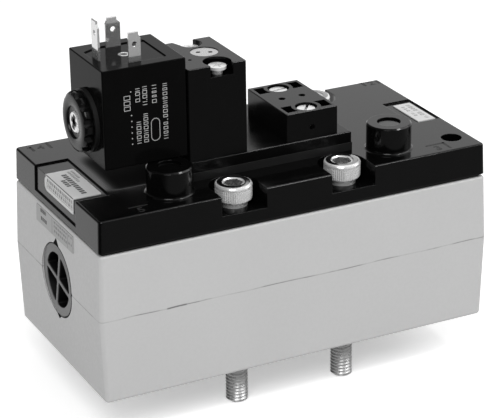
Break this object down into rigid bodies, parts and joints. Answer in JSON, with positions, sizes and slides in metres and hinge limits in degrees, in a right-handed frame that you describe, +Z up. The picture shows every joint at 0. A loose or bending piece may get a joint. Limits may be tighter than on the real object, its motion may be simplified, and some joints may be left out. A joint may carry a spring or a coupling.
{
  "type": "directional control valve",
  "caption": "Base mounted spool valve with a solenoid pilot, plug-in terminals, sunk override buttons and captive mounting screws.",
  "frame": {"origin": "centre of the body's underside, the face that sits on the sub-base", "axes": "+X along the spool away from the coil, +Y to the rear, +Z up"},
  "size_m": [0.1508, 0.0776, 0.1397],
  "materials": {
    "body_grey": "light grey coat on a casting, fine grain",
    "cover_black": "black moulded plastic, satin",
    "pilot_black": "black moulded plastic, satin",
    "coil_black": "black moulded resin, glossy",
    "nut_black": "black moulded plastic",
    "button_black": "matt",
    "cap_grey": "matt",
    "inner_plastic": "matt",
    "rubber": "matt",
    "screw_steel": "zinc plated",
    "spring_steel": "drawn wire",
    "plug_silver": "turned",
    "blade_nickel": "nickel plated",
    "brass": "turned",
    "copper": "enamelled wire",
    "spool_aluminium": "turned",
    "label_grey": "printed film",
    "label_white": "printed film"
  },
  "bodies": {
    "housing": {"valve_body": "body_grey", "base_gasket": "rubber", "cover_gasket": "rubber", "seal_plate": "rubber", "cover": "cover_black", "base_plate": "pilot_black", "blanking_plate": "pilot_black", "pilot_body": "pilot_black", "coil_case": "coil_black", "coil_nut": "nut_black", "nut_seal": "rubber", "mounting_screws": "screw_steel", "blanking_screws": "screw_steel", "pilot_screws": "screw_steel", "retaining_rings": "screw_steel", "return_spring": "spring_steel", "plunger_spring": "spring_steel", "left_override_spring": "spring_steel", "right_override_spring": "spring_steel", "plunger_tube": "spring_steel", "pole_piece": "screw_steel", "coil_frame": "screw_steel", "adjusting_plug": "plug_silver", "contact_blades": "blade_nickel", "ground_blade": "blade_nickel", "connector_insert": "blade_nickel", "nozzle_seat": "brass", "winding": "copper", "bobbin": "inner_plastic", "seal_spacers": "inner_plastic", "left_end_cap": "cap_grey", "right_end_cap": "cap_grey", "type_label": "label_grey", "flow_label": "label_white", "rating_label": "label_grey", "spool_seals": "rubber", "end_cap_seals": "rubber", "plug_seal": "rubber", "tube_seal": "rubber"},
    "spool": {"spool": "spool_aluminium", "left_piston": "inner_plastic", "right_piston": "inner_plastic", "piston_seals": "rubber"},
    "plunger": {"plunger": "screw_steel", "plunger_pad": "rubber"},
    "left_override": {"left_override_button": "button_black", "left_override_seal": "rubber"},
    "right_override": {"right_override_button": "button_black", "right_override_seal": "rubber"}
  },
  "joints": [
    {"name": "spool_slide", "type": "slide", "parent": "housing", "child": "spool", "axis": [1, 0, 0], "range_m": [0, 0.006], "stiffness_N_per_m": 800, "springref_m": -0.008, "deforming": ["return_spring"]},
    {"name": "plunger_slide", "type": "slide", "parent": "housing", "child": "plunger", "axis": [-1, 0, 0], "range_m": [0, 0.0012], "stiffness_N_per_m": 500, "springref_m": -0.004, "deforming": ["plunger_spring"]},
    {"name": "left_override_press", "type": "slide", "parent": "housing", "child": "left_override", "axis": [0, 0, -1], "range_m": [0, 0.0025], "stiffness_N_per_m": 600, "springref_m": -0.002, "deforming": ["left_override_spring"]},
    {"name": "right_override_press", "type": "slide", "parent": "housing", "child": "right_override", "axis": [0, 0, -1], "range_m": [0, 0.0025], "stiffness_N_per_m": 600, "springref_m": -0.002, "deforming": ["right_override_spring"]}
  ]
}
